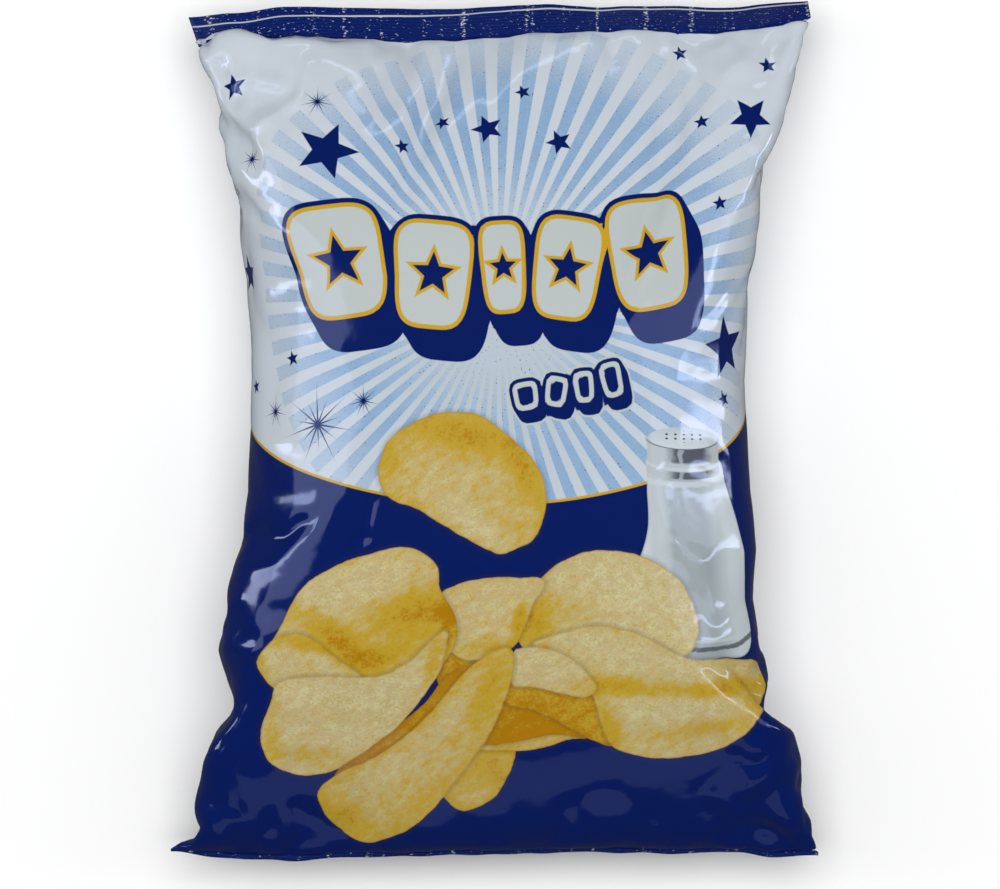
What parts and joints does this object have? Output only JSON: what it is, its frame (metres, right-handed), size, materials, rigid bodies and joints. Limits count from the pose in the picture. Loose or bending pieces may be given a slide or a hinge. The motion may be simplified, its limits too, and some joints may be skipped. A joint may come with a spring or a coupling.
{
  "type": "bag of potato crisps",
  "caption": "Sealed pillow bag of potato crisps, glossy printed film blown up tight, flat crimped seals at both ends, lying on its back.",
  "frame": {"origin": "middle of the bounding box's bottom, on the surface that the bag lies on", "axes": "+X to the bag's right, +Y towards its top seal, +Z out of its printed front"},
  "size_m": [0.26, 0.3421, 0.0955],
  "materials": {
    "printed_film": "glossy printed packaging film, pale grey and light blue above, navy below"
  },
  "bodies": {
    "root": {"bag": "printed_film"}
  },
  "joints": []
}
